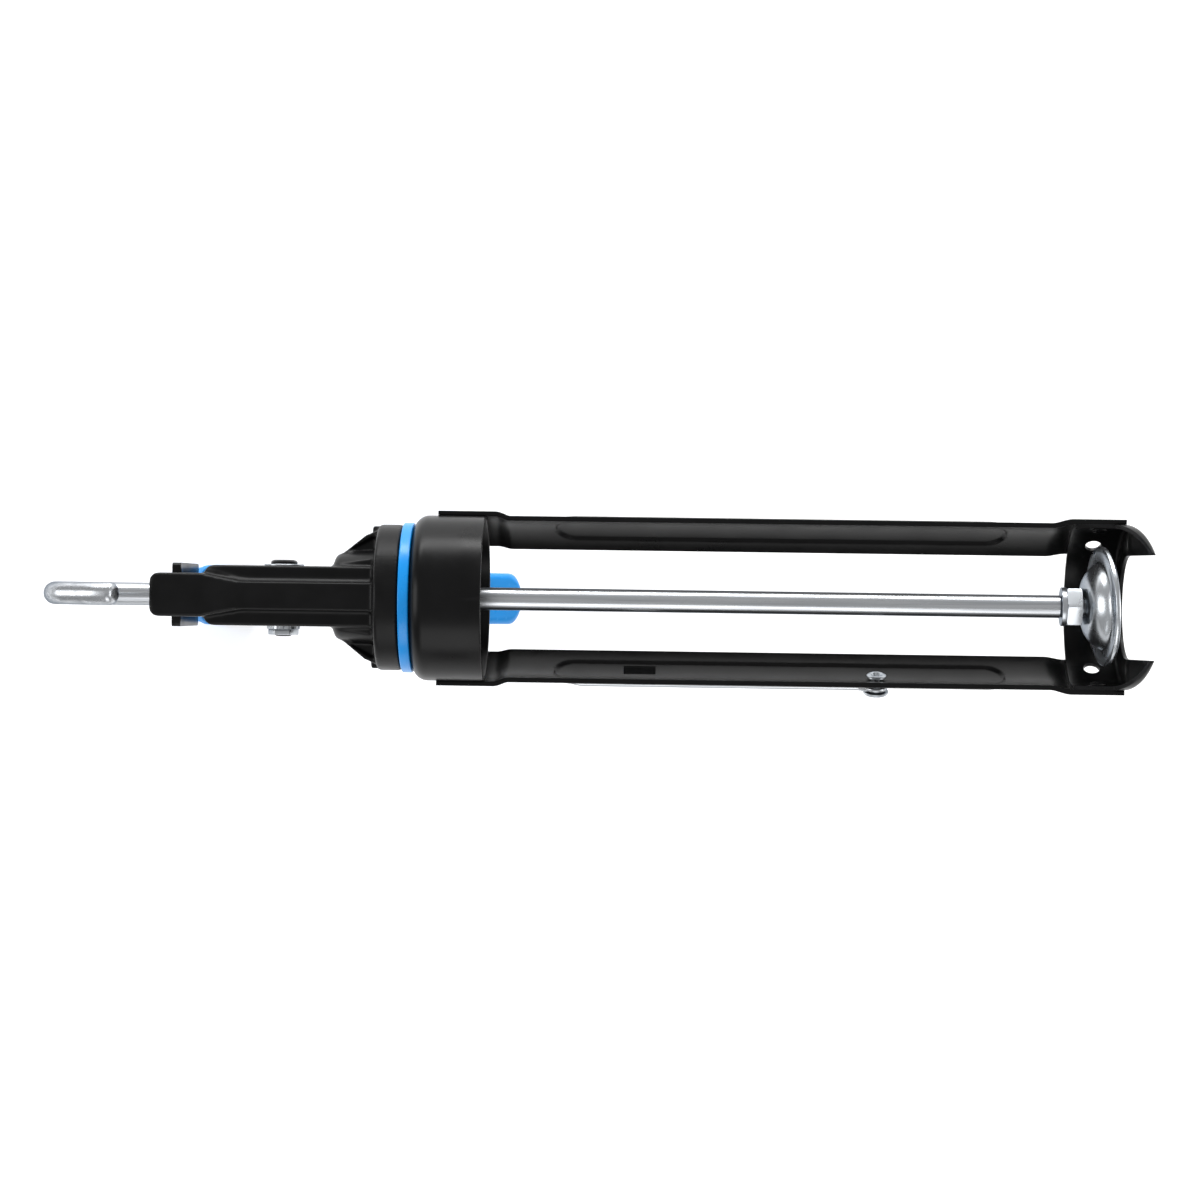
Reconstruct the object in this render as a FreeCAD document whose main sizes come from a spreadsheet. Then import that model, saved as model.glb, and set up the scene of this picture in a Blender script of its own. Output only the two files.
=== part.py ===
import FreeCAD, Part
import math
import os
import re
import Sketcher

# Caulking gun with a swivelling two-rail cradle. +X points to the nozzle, +Z up, +Y left.
# The origin is on the push rod's axis, at the inner face of the rear collar's back wall.

os.makedirs("parts", exist_ok=True)
doc = FreeCAD.newDocument("caulking_gun")

# driving dimensions, millimetres and degrees
sizes = {
    # the 310 ml cartridge that the cradle is made for, and the sheet steel around it
    "seat_length": 233.0, "seat_radius": 26.0, "sheet": 1.3, "collar_depth": 22.1,
    "cup_start": 216.0, "cup_corner": 2.6, "notch_radius": 17.0, "horn_top": 20.5,
    "horn_lean": 17.5, "wall_peak": 2.0, "drain_hole": 2.65, "drain_x": 224.2, "drain_angle": 128.0, "spigot_hole": 13.0,
    # rails
    "rail_inner": 25.9, "rail_sheet": 1.6, "rail_start": 6.3, "rail_end": 232.6,
    "jog_rear_start": 25.0, "jog_rear_end": 30.0, "jog_front_start": 208.5,
    "jog_front_end": 215.5, "rail_up": 4.0, "rail_down": 49.5,
    "bead_start": 44.5, "bead_end": 195.0, "bead_height": 0.4, "bead_top": 8.0, "bead_sweep": 31.0,
    # piercing pin
    "pin_angle": 20.5, "pin_pivot": 152.0, "pin_tip": 49.6, "pin_wire": 1.1, "pin_reach": 29.5,
    "eyelet_radius": 4.15, "clip_start": 67.8, "clip_end": 78.8,
    # push rod and plunger
    "rod_radius": 3.75, "rod_front": 211.5, "hook_rear": -108.2, "hook_radius": 10.2,
    "hook_turn": 158.0, "hook_tip": 17.5, "stud_radius": 3.0, "stud_front": 227.2, "nut_flats": 12.0,
    "plunger_radius": 19.75, "plunger_centre": 219.9, "plunger_sheet": 1.6,
    "plunger_tilt": 7.0, "plunger_dish": 5.6, "plunger_flat": 13.2,
    # swivel
    "ring_rear": -4.9, "ring_front": -1.45, "ring_radius": 24.75, "spigot_radius": 12.95,
    "spigot_front": 4.2, "retainer_rear": 0.25, "retainer_sheet": 1.8, "groove_radius": 12.0,
    # handle casting
    "boss_radius": 24.1, "boss_rear": -12.9, "boss_front": -5.0, "boss_heel": -16.0,
    "neck_radius": 14.5, "neck_rear": -27.7, "gusset_rear": -25.4, "gusset_reach": 20.4,
    "gusset_half": 3.0, "case_half": 9.9, "case_wall": 3.0, "case_top": 12.0, "roof": 2.6,
    "case_rear": -69.5, "case_floor": -19.0, "rear_wall": 3.5, "front_wall": -17.5,
    "ridge_half": 4.5, "ridge_top": 17.5, "tail_half": 7.15, "tail_rear": -86.7,
    "tail_front": -66.0, "tail_under": 11.6, "lip_front": -80.6, "lip_under": 4.9,
    "grip_half": 10.2, "grip_foot": -120.0, "bush_radius": 6.0, "bush_front": 4.2,
    # trigger
    "pivot_x": -46.3, "pivot_z": -13.0, "pivot_radius": 3.0, "trigger_half": 9.2,
    "trigger_neck": 6.6, "nose_x": -42.9, "nose_z": -6.3, "nose_radius": 1.7,
    # drive and release plates, springs
    "drive_rear": -41.0, "drive_plate": 2.5, "drive_half": 6.6, "drive_top": 8.5,
    "drive_low": -10.0, "release_rear": -80.2, "release_plate": 2.8, "release_half": 10.5,
    "release_top": 10.0, "release_low": -28.0, "release_bore": 4.6, "thumb_tab": 4.2,
    "main_coil": 5.6, "main_wire": 0.75, "release_coil": 5.9, "release_wire": 0.55,
    # small gaps
    "gap": 0.1,
}

sheet = doc.addObject("Spreadsheet::Sheet", "dims")
for row, (alias, amount) in enumerate(sizes.items(), 1):
    sheet.set("A%d" % row, alias)
    sheet.set("B%d" % row, str(amount))
    sheet.setAlias("B%d" % row, alias)
doc.recompute()

term = re.compile(r"([+-]?)\s*(?:([\d.]+)\s*\*\s*)?([a-z_]+|[\d.]+)")
parts = []


# A formula is a sum of named sizes and plain numbers, each with an optional factor in front.
def worth(formula):
    total = 0.0
    for sign, factor, name in term.findall(formula):
        amount = sizes[name] if name in sizes else float(name)
        total += (-1 if sign == "-" else 1) * (float(factor) if factor else 1.0) * amount
    return total


def bind(thing, prop, formula):
    thing.setExpression(prop, re.sub(r"([a-z_]{2,})", r"dims.\1", formula))


def named(thing, label):
    thing.Label = label
    parts.append(thing)
    return thing


# ---- Part workbench helpers: primitives placed and sized from the sheet ----

def place(thing, base):
    for axis, formula in zip("xyz", base):
        bind(thing, "Placement.Base." + axis, formula)


def box(low, high):
    thing = doc.addObject("Part::Box", "block")
    place(thing, low)
    for prop, start, end in zip(("Length", "Width", "Height"), low, high):
        bind(thing, prop, "(%s) - (%s)" % (end, start))
    return thing


turns = {"x": FreeCAD.Rotation(FreeCAD.Vector(0, 1, 0), 90),
         "y": FreeCAD.Rotation(FreeCAD.Vector(1, 0, 0), -90),
         "z": FreeCAD.Rotation()}


def cylinder(base, length, radius, axis="x"):
    thing = doc.addObject("Part::Cylinder", "round")
    thing.Placement.Rotation = turns[axis]
    place(thing, base)
    bind(thing, "Height", length)
    bind(thing, "Radius", radius)
    return thing


# A hexagonal prism, given its width across flats.
def hexagon(base, length, flats, axis="x"):
    prism = doc.addObject("Part::Prism", "hexagon")
    prism.Polygon = 6
    prism.Placement.Rotation = turns[axis]
    place(prism, base)
    bind(prism, "Height", length)
    prism.setExpression("Circumradius", "(%s) / 2 / cos(30)" % re.sub(r"([a-z_]{2,})", r"dims.\1", flats))
    return prism


def fuse(*things):
    joined = doc.addObject("Part::MultiFuse", "joined")
    joined.Shapes = list(things)
    joined.Refine = True
    return joined


def cut(base, *tools):
    thing = doc.addObject("Part::Cut", "trimmed")
    thing.Base = base
    thing.Tool = tools[0] if len(tools) == 1 else fuse(*tools)
    return thing


def common(first, second):
    thing = doc.addObject("Part::Common", "shared")
    thing.Base = first
    thing.Tool = second
    return thing


# Rounds the edges that a test picks out.
def rounded(base, radius, wanted):
    doc.recompute()
    thing = doc.addObject("Part::Fillet", "rounded")
    thing.Base = base
    picked = [i for i, edge in enumerate(base.Shape.Edges, 1) if wanted(edge)]
    thing.Edges = [(i, worth(radius), worth(radius)) for i in picked]
    doc.recompute()
    return thing


# ---- PartDesign helpers: a sketch whose every corner is bound to the sheet ----

def sketch(body, role, corners):
    outline = body.newObject("Sketcher::SketchObject", "outline")
    plane = [one for one in body.Origin.OriginFeatures if one.Role == role][0]
    outline.AttachmentSupport = [(plane, "")]
    outline.MapMode = "FlatFace"
    spots = [FreeCAD.Vector(worth(u), worth(v), 0) for u, v in corners]
    for i, spot in enumerate(spots):
        outline.addGeometry(Part.LineSegment(spot, spots[(i + 1) % len(spots)]), False)
    for i in range(len(spots)):
        outline.addConstraint(Sketcher.Constraint("Coincident", i, 2, (i + 1) % len(spots), 1))
    for i, (spot, corner) in enumerate(zip(spots, corners)):
        for kind, amount, formula in zip(("DistanceX", "DistanceY"), (spot.x, spot.y), corner):
            number = outline.addConstraint(Sketcher.Constraint(kind, -1, 1, i, 1, amount))
            bind(outline, "Constraints[%d]" % number, formula)
    return outline


# A profile in the XZ plane, turned about the X axis.
def turned(corners):
    body = doc.addObject("PartDesign::Body", "turned")
    profile = sketch(body, "XZ_Plane", corners)
    feature = body.newObject("PartDesign::Revolution", "revolution")
    feature.Profile = profile
    feature.ReferenceAxis = (profile, ["H_Axis"])
    feature.Angle = 360
    return body


# A side outline in the XZ plane, with the same width on both sides of it.
def plate(corners, half):
    body = doc.addObject("PartDesign::Body", "plate")
    profile = sketch(body, "XZ_Plane", corners)
    feature = body.newObject("PartDesign::Pad", "pad")
    feature.Profile = profile
    feature.Midplane = True
    bind(feature, "Length", "2*" + half)
    return body


def smooth(body, radius, wanted):
    doc.recompute()
    before = body.Tip
    feature = body.newObject("PartDesign::Fillet", "fillet")
    picked = ["Edge%d" % i for i, edge in enumerate(before.Shape.Edges, 1) if wanted(edge)]
    feature.Base = (before, picked)
    bind(feature, "Radius", radius)
    doc.recompute()
    return body


def along(axis):
    def test(edge):
        run = edge.lastVertex().Point - edge.firstVertex().Point
        return run.Length > 0.5 and abs(abs(run.normalize().dot(axis)) - 1) < 1e-4
    return test


sideways = along(FreeCAD.Vector(0, 1, 0))


def tilted(thing, centre, axis, degrees):
    spin = FreeCAD.Rotation(axis, degrees)
    thing.Placement = FreeCAD.Placement(centre - spin.multVec(centre), spin).multiply(thing.Placement)
    return thing


# A coil spring along X: its pitch closes up to nothing, so both ends are plain.
def coil(label, start, end, radius, wire, turns_count):
    helix = Part.makeHelix((worth(end) - worth(start) - 2 * worth(wire)) / turns_count,
                           worth(end) - worth(start) - 2 * worth(wire), worth(radius))
    ring = Part.Wire(Part.makeCircle(worth(wire), FreeCAD.Vector(worth(radius), 0, 0),
                                     FreeCAD.Vector(0, 1, 0)))
    thing = doc.addObject("Part::Feature", label)
    thing.Shape = Part.Wire(helix.Edges).makePipeShell([ring], True, True)
    thing.Placement = FreeCAD.Placement(
        FreeCAD.Vector(worth(start) + worth(wire), 0, 0), turns["x"])
    return named(thing, label)


# ---- cradle ----

# A drawn cup: a tube with a flat wall at one end.
def cup_profile(wall, mouth, bore):
    outer = "seat_radius + sheet"
    back = wall + (" + sheet" if worth(wall) > worth(mouth) else " - sheet")
    return [(wall, bore), (back, bore), (back, outer), (mouth, outer), (mouth, "seat_radius"),
            (wall, "seat_radius")]


def ring_edge(x, radius):
    def test(edge):
        curve = edge.Curve
        return (curve.TypeId == "Part::GeomCircle" and abs(curve.Radius - radius) < 1e-3
                and abs(curve.Center.x - x) < 1e-3)
    return test


def rear_collar():
    cup = turned(cup_profile("0", "collar_depth", "spigot_hole"))
    smooth(cup, "cup_corner + sheet", ring_edge(-worth("sheet"), worth("seat_radius + sheet")))
    smooth(cup, "cup_corner", ring_edge(0, worth("seat_radius")))
    return named(cup, "rear_collar")


# The lower half holds the cartridge's shoulder; the two horns beside the notch lean forward.
def front_cup():
    def half(keep_low, keep_high):
        cup = turned(cup_profile("seat_length", "cup_start", "0"))
        face = worth("seat_length + sheet")
        smooth(cup, "cup_corner + sheet", ring_edge(face, worth("seat_radius + sheet")))
        smooth(cup, "cup_corner", ring_edge(worth("seat_length"), worth("seat_radius")))
        slab = box(("cup_start - 5", "0 - 40", keep_low), ("seat_length + 5", "40", keep_high))
        return common(cup, slab)

    lower = half("0 - 40", "wall_peak")
    upper = half("0 - 3", "horn_top")
    slope = plate([("cup_start - 6", "0 - 10"), ("seat_length - 6", "0 - 10"),
                   ("seat_length - 6", "wall_peak"), ("seat_length - 0.6", "horn_top + 1"),
                   ("cup_start - 6", "horn_top + 1")], "40")
    horns = cut(upper, slope)
    doc.recompute()
    foot = FreeCAD.Vector(worth("seat_length + sheet"), 0, 0)
    tilted(horns, foot, FreeCAD.Vector(0, 1, 0), worth("horn_lean"))
    notch = fuse(cylinder(("seat_length - 4", "0", "0"), "20", "notch_radius"),
                 box(("seat_length - 4", "0 - notch_radius", "0"),
                     ("seat_length + 16", "notch_radius", "horn_top + 9")))
    tools = [notch]
    for side in (-1, 1):
        hole = cylinder(("drain_x", "0", "0"), "40", "drain_hole", "z")
        centre = FreeCAD.Vector(worth("drain_x"), 0, 0)
        tilted(hole, centre, FreeCAD.Vector(1, 0, 0), side * worth("drain_angle"))
        tools.append(hole)
    return named(cut(fuse(lower, horns), *tools), "front_cup")


def rail_profile():
    def line(inner, lap):
        return [("rail_start", lap), ("jog_rear_start", lap), ("jog_rear_end", inner),
                ("jog_front_start", inner), ("jog_front_end", lap), ("rail_end", lap)]

    lower = line("rail_inner", "seat_radius + sheet + 0.02")
    upper = line("rail_inner + rail_sheet", "seat_radius + sheet + rail_sheet")
    return lower + upper[::-1]


def arc_strip(corners, start, sweep):
    body = doc.addObject("PartDesign::Body", "strip")
    profile = sketch(body, "XY_Plane", corners)
    feature = body.newObject("PartDesign::Revolution", "revolution")
    feature.Profile = profile
    feature.ReferenceAxis = (profile, ["H_Axis"])
    feature.setExpression("Angle", re.sub(r"([a-z_]{2,})", r"dims.\1", sweep))
    body.Placement.Rotation = FreeCAD.Rotation(FreeCAD.Vector(1, 0, 0), start)
    return body


# A rail on the left side: a rolled strip with a pressed bead, trimmed above the front cup's drain hole.
def rail():
    strip = arc_strip(rail_profile(), worth("0 - rail_down"), "rail_down + rail_up")
    bead = arc_strip([("bead_start", "rail_inner + rail_sheet - 0.4"),
                      ("bead_start + 4", "rail_inner + rail_sheet + bead_height"),
                      ("bead_end - 4", "rail_inner + rail_sheet + bead_height"),
                      ("bead_end", "rail_inner + rail_sheet - 0.4")],
                     -worth("bead_top + bead_sweep"), "bead_sweep")
    trim = box(("cup_start + 2", "0", "0 - 40"), ("rail_end + 1", "40", "0 - 11.3"))
    return cut(fuse(strip, bead), trim)


# Turns a piece built along +Z to point out of the right rail at the pin's angle.
def radial(thing, x="0"):
    return swung(thing, x, 90 + worth("pin_angle"))


def swung(thing, x, degrees):
    holder = doc.addObject("Part::Compound", "swung")
    holder.Links = [thing]
    holder.Placement.Rotation = FreeCAD.Rotation(FreeCAD.Vector(1, 0, 0), degrees)
    bind(holder, "Placement.Base.x", x)
    doc.recompute()
    return holder


def left_rail():
    return named(rail(), "left_rail")


# The right rail has the rivet hole for the piercing pin and a lanced tongue that its wire rests on.
def right_rail():
    whole = rail()
    doc.recompute()
    other = doc.addObject("Part::Mirroring", "other_side")
    other.Source = whole
    other.Normal = FreeCAD.Vector(0, 1, 0)
    hole = radial(cylinder(("0", "0", "rail_inner - 3"), "12", "1.56", "z"), "pin_pivot")
    window = box(("clip_start", "0 - 6.4", "rail_inner - 3"), ("clip_end", "0 - 1.4", "rail_inner + 8"))
    slot = box(("clip_start + 0.5", "5.7", "rail_inner - 3"), ("clip_end - 0.5", "6.4", "rail_inner + 8"))
    tongue = box(("clip_start + 0.6", "0 - 7.2", "rail_inner + 0.4"),
                 ("clip_end - 0.6", "0 - 1.6", "rail_inner + 1.6"))
    doc.recompute()
    root = FreeCAD.Vector(0, -7.2, worth("rail_inner + 0.4"))
    tilted(tongue, root, FreeCAD.Vector(1, 0, 0), 27)
    return named(fuse(cut(other, hole, radial(window), radial(slot)), radial(tongue)), "right_rail")


def pin_rivet():
    shank = cylinder(("0", "0", "rail_inner - 0.8"), "pin_reach + pin_wire - rail_inner + 1.1", "1.55", "z")
    head = cylinder(("0", "0", "pin_reach + pin_wire + 0.15"), "1.3", "eyelet_radius", "z")
    tail = cylinder(("0", "0", "rail_inner - 0.85"), "0.65", "2.6", "z")
    return named(radial(fuse(shank, head, tail), "pin_pivot"), "pin_rivet")


def pin_washer():
    disc = cut(cylinder(("0", "0", "rail_inner + rail_sheet + bead_height + 0.02"), "0.42", "3.4", "z"),
               cylinder(("0", "0", "rail_inner"), "9", "1.6", "z"))
    return named(radial(disc, "pin_pivot"), "pin_washer")


# Each rail has one pressed rivet in the collar and one in the front cup.
def cradle_rivets():
    studs = []
    for x in ("rail_start + 7", "seat_length - 8"):
        for side in (-1, 1):
            stud = cylinder(("0", "0", "seat_radius - 0.35"), "sheet + rail_sheet + 0.9", "1.7", "z")
            studs.append(swung(stud, x, side * 101))
    group = doc.addObject("Part::Compound", "rivets")
    group.Links = studs
    return named(group, "cradle_rivets")


# ---- piercing pin: a wire with an eye at the rivet and a ground point ----

def piercing_pin():
    wire = cylinder(("pin_tip + 4", "0", "pin_reach"), "pin_pivot - pin_tip - 6.6", "pin_wire")
    point = doc.addObject("Part::Cone", "point")
    point.Placement.Rotation = turns["x"]
    place(point, ("pin_tip", "0", "pin_reach"))
    bind(point, "Radius2", "pin_wire")
    point.Radius1 = 0.15
    point.Height = 4
    eye = doc.addObject("Part::Torus", "eye")
    place(eye, ("pin_pivot", "0", "pin_reach"))
    eye.Radius1 = 2.72
    bind(eye, "Radius2", "pin_wire - 0.02")
    return named(radial(fuse(wire, point, eye)), "piercing_pin")


# ---- push rod and plunger ----

def push_rod():
    turn = math.radians(worth("hook_turn"))
    rear, bend = worth("hook_rear"), worth("hook_radius")
    front, radius = worth("rod_front"), worth("rod_radius")
    stop = FreeCAD.Vector(rear - bend * math.sin(turn), 0, bend * (1 - math.cos(turn)))
    half = FreeCAD.Vector(rear - bend * math.sin(turn / 2), 0, bend * (1 - math.cos(turn / 2)))
    heading = FreeCAD.Vector(-math.cos(turn), 0, math.sin(turn))
    corner = FreeCAD.Vector(rear, 0, 0)
    path = Part.Wire([Part.LineSegment(FreeCAD.Vector(front, 0, 0), corner).toShape(),
                      Part.Arc(corner, half, stop).toShape(),
                      Part.LineSegment(stop, stop + heading * worth("hook_tip")).toShape()])
    ring = Part.Wire(Part.makeCircle(radius, FreeCAD.Vector(front, 0, 0), FreeCAD.Vector(1, 0, 0)))
    shaft = path.makePipeShell([ring], True, False)
    stud = Part.makeCylinder(worth("stud_radius"), worth("stud_front") - front + 1,
                             FreeCAD.Vector(front - 1, 0, 0), FreeCAD.Vector(1, 0, 0))
    thing = doc.addObject("Part::Feature", "push_rod")
    thing.Shape = shaft.fuse(stud).removeSplitter()
    return named(thing, "push_rod")


def nut(label, start, thickness):
    base = (start, "0", "0")
    corners = common(hexagon(base, thickness, "nut_flats"),
                     turned([(start, "0"), (start, "nut_flats - 5.6"), (start + " + 0.5", "nut_flats - 4.9"),
                             (start + " + %s - 0.5" % thickness, "nut_flats - 4.9"),
                             (start + " + " + thickness, "nut_flats - 5.6"),
                             (start + " + " + thickness, "0")]))
    bore = cylinder((start + " - 1", "0", "0"), thickness + " + 2", "stud_radius + 0.01")
    return named(cut(corners, bore), label)


def plunger_lock_washer():
    disc = cut(cylinder(("rod_front + 0.02", "0", "0"), "1.6", "6.4"),
               cylinder(("rod_front - 1", "0", "0"), "5", "stud_radius + 0.05"))
    return named(disc, "plunger_lock_washer")


# A dished disc: a flat rim, a small step, and a shallow cone back to the hub.
def plunger_disc():
    hub, rim = "plunger_centre", "plunger_centre + plunger_dish"
    back = [(hub + " - 0.8", "stud_radius + 0.45"), (hub + " - 0.8", "8.2"),
            (rim + " - 1.9", "plunger_flat"), (rim + " - 0.8", "plunger_flat + 1"),
            (rim + " - 0.8", "plunger_radius")]
    front = [(rim + " + 0.9", "plunger_radius"), (rim + " + 0.9", "plunger_flat + 0.4"),
             (rim + " - 0.2", "plunger_flat - 0.7"), (hub + " + 0.8", "7.4"),
             (hub + " + 0.8", "stud_radius + 0.45")]
    disc = turned(back + front)
    doc.recompute()
    tilted(disc, FreeCAD.Vector(worth(hub), 0, 0), FreeCAD.Vector(0, 1, 0), worth("plunger_tilt"))
    return named(disc, "plunger_disc")


# ---- swivel ----

def swivel_ring():
    ring = turned([("ring_rear", "spigot_radius + gap"), ("ring_front", "spigot_radius + gap"),
                   ("ring_front", "ring_radius"), ("ring_rear", "ring_radius")])
    edge = worth("ring_radius")
    smooth(ring, "0.5", lambda e: e.Curve.TypeId == "Part::GeomCircle" and abs(e.Curve.Radius - edge) < 1e-3)
    return named(ring, "swivel_ring")


def swivel_retainer():
    ring = turned([("retainer_rear", "groove_radius + 0.05"),
                   ("retainer_rear + retainer_sheet", "groove_radius + 0.05"),
                   ("retainer_rear + retainer_sheet", "17"), ("retainer_rear", "17")])
    return named(ring, "swivel_retainer")


def rod_bush():
    ring = turned([("front_wall - 0.5", "rod_radius + 0.05"), ("bush_front", "rod_radius + 0.05"),
                   ("bush_front", "bush_radius"), ("front_wall - 0.5", "bush_radius")])
    return named(ring, "rod_bush")


# ---- handle casting ----

def casting_front():
    round_front = turned([
        ("neck_rear + 3", "0"), ("spigot_front", "0"), ("spigot_front", "spigot_radius"),
        ("retainer_rear + retainer_sheet + 0.05", "spigot_radius"),
        ("retainer_rear + retainer_sheet + 0.05", "groove_radius"),
        ("retainer_rear - 0.05", "groove_radius"), ("retainer_rear - 0.05", "spigot_radius"),
        ("boss_front", "spigot_radius"), ("boss_front", "boss_radius"), ("boss_rear", "boss_radius"),
        ("boss_rear - 1", "neck_radius + 1.2"), ("neck_rear + 3", "neck_radius")])
    neck_end = turned([("neck_rear", "0"), ("neck_rear + 4", "0"), ("neck_rear + 4", "neck_radius"),
                       ("neck_rear + 2.5", "neck_radius"), ("neck_rear + 0.7", "neck_radius - 0.8"),
                       ("neck_rear", "neck_radius - 2.6")])
    heel = common(cylinder(("boss_heel", "0", "0"), "boss_rear - boss_heel + 1", "boss_radius"),
                  box(("boss_heel - 1", "0 - 40", "0 - 40"), ("boss_rear + 2", "40", "0 - 4")))
    gusset_body = doc.addObject("PartDesign::Body", "gusset")
    profile = sketch(gusset_body, "XY_Plane", [
        ("boss_rear + 1", "0 - gusset_reach - 2.4"), ("boss_rear + 1", "gusset_reach + 2.4"),
        ("boss_rear - 4.6", "gusset_reach"), ("gusset_rear", "neck_radius - 0.5"),
        ("gusset_rear", "0 - neck_radius + 0.5"), ("boss_rear - 4.6", "0 - gusset_reach")])
    pad = gusset_body.newObject("PartDesign::Pad", "pad")
    pad.Profile = profile
    pad.Midplane = True
    bind(pad, "Length", "2*gusset_half")
    above = box(("neck_rear - 1", "0 - 30", "case_top - 2.4"), ("boss_rear - 1", "30", "40"))
    return fuse(cut(fuse(round_front, neck_end), above), heel, gusset_body)


def casting_case():
    case = plate([("case_rear", "case_top"), ("case_rear", "0 - 12"), ("case_rear + 4", "case_floor - 8"),
                  ("pivot_x - 5", "case_floor - 6"), ("pivot_x + 3", "case_floor - 2"),
                  ("pivot_x + 10", "case_floor + 2"), ("neck_rear - 3", "0 - neck_radius + 1"),
                  ("boss_rear - 2", "0 - neck_radius + 1"), ("boss_rear - 2", "case_top")], "case_half")
    smooth(case, "3.2", lambda e: along(FreeCAD.Vector(0, 0, 1))(e)
           and abs(e.BoundBox.XMin - worth("case_rear")) < 0.01)
    ridge = plate([("tail_front - 3", "case_top - 2"), ("tail_front - 3", "ridge_top - 0.8"),
                   ("case_rear + 14", "ridge_top"), ("boss_rear + 1", "ridge_top"),
                   ("boss_rear + 1", "case_top - 2")], "ridge_half")
    tail_body = doc.addObject("PartDesign::Body", "tail")
    profile = sketch(tail_body, "XY_Plane", [
        ("tail_rear", "0 - tail_half"), ("tail_front - 4", "0 - tail_half"),
        ("tail_front - 1", "0 - tail_half + 0.7"), ("tail_front + 6", "0 - ridge_half - 0.7"),
        ("tail_front + 10", "0 - ridge_half"), ("tail_front + 10", "ridge_half"),
        ("tail_front + 6", "ridge_half + 0.7"), ("tail_front - 1", "tail_half - 0.7"),
        ("tail_front - 4", "tail_half"), ("tail_rear", "tail_half")])
    pad = tail_body.newObject("PartDesign::Pad", "pad")
    pad.Profile = profile
    bind(pad, "Length", "ridge_top - tail_under - 0.8")
    smooth(tail_body, "3", lambda e: along(FreeCAD.Vector(0, 0, 1))(e)
           and abs(e.BoundBox.XMin - worth("tail_rear")) < 0.01)
    bind(tail_body, "Placement.Base.z", "tail_under")
    lip = box(("tail_rear + 0.6", "0 - tail_half + 0.6", "lip_under"),
              ("lip_front", "tail_half - 0.6", "tail_under + 1"))
    return fuse(case, ridge, tail_body, lip)


def casting_grip():
    grip = plate([("case_rear + 1.5", "case_floor"), ("case_rear + 1", "case_floor - 12"),
                  ("case_rear - 2.5", "case_floor - 26"), ("case_rear - 13", "grip_foot"),
                  ("pivot_x - 24", "grip_foot"), ("pivot_x - 19", "grip_foot + 6"),
                  ("pivot_x - 14", "case_floor - 40"), ("pivot_x - 13", "case_floor - 20"),
                  ("pivot_x - 11", "case_floor")], "grip_half")
    return smooth(grip, "5", lambda e: e.Curve.TypeId == "Part::GeomLine" and not sideways(e)
                  and e.CenterOfMass.x > worth("case_rear + 6")
                  and e.CenterOfMass.z < worth("case_floor - 8") and e.CenterOfMass.z > worth("grip_foot + 1") and abs(e.CenterOfMass.y) > 5)


def body_casting():
    whole = fuse(casting_front(), casting_case(), casting_grip())
    inner = "case_half - case_wall"
    cavity = box(("case_rear + rear_wall", "0 - case_half + case_wall", "case_floor - 3.5"),
                 ("front_wall", inner, "case_top - roof"))
    mouth = plate([("pivot_x - 12", "case_floor"), ("pivot_x - 12.6", "case_floor - 16"),
                   ("pivot_x + 30", "case_floor - 16"),
                   ("pivot_x + 26", "case_floor + 6")], inner)
    bore = cylinder(("front_wall - 1", "0", "0"), "40", "bush_radius")
    rear_bore = cylinder(("case_rear - 4", "0", "0"), "12", "rod_radius + 0.6")
    pivot_bore = cylinder(("pivot_x", "0 - 30", "pivot_z"), "60", "pivot_radius + 0.02", "y")
    return named(cut(whole, cavity, mouth, bore, rear_bore, pivot_bore), "body_casting")


# The grip's blue cover wraps its back; its top end is a rounded shelf under the release plate.
def grip_backstrap():
    strap = plate([("case_rear + 0.95", "case_floor - 12.1"), ("case_rear - 8", "case_floor - 13"),
                   ("case_rear - 10.5", "case_floor - 18"), ("case_rear - 11", "case_floor - 30"),
                   ("case_rear - 25.5", "grip_foot"), ("case_rear - 13.1", "grip_foot"),
                   ("case_rear - 2.6", "case_floor - 26")], "grip_half")
    return named(smooth(strap, "4.5", lambda e: not sideways(e) and abs(e.CenterOfMass.y) > 5
                        and e.CenterOfMass.x < worth("case_rear - 8.5")
                        and e.CenterOfMass.z > worth("grip_foot + 1")), "grip_backstrap")


def trigger_pivot_bolt():
    shank = cylinder(("pivot_x", "0 - case_half - 3.7", "pivot_z"), "2*case_half + 4.5", "pivot_radius", "y")
    head = rounded(cylinder(("pivot_x", "case_half + 0.75", "pivot_z"), "1.5", "4.5", "y"), "0.8",
                   ring_top)
    return named(fuse(shank, head), "trigger_pivot_bolt")


def ring_top(edge):
    return edge.Curve.TypeId == "Part::GeomCircle" and edge.Curve.Center.y > worth("case_half + 1.5")


def trigger_pivot_washer():
    disc = cut(cylinder(("pivot_x", "case_half + 0.02", "pivot_z"), "0.7", "6.6", "y"),
               cylinder(("pivot_x", "0", "pivot_z"), "30", "pivot_radius + 0.03", "y"))
    return named(disc, "trigger_pivot_washer")


def trigger_pivot_nut():
    body = fuse(hexagon(("pivot_x", "0 - case_half - 3.1", "pivot_z"), "2.1", "9", "y"),
                cylinder(("pivot_x", "0 - case_half - 1.2", "pivot_z"), "1.15", "5.5", "y"))
    bore = cylinder(("pivot_x", "0 - 30", "pivot_z"), "25", "pivot_radius + 0.02", "y")
    return named(cut(body, bore), "trigger_pivot_nut")


# ---- trigger ----

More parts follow.
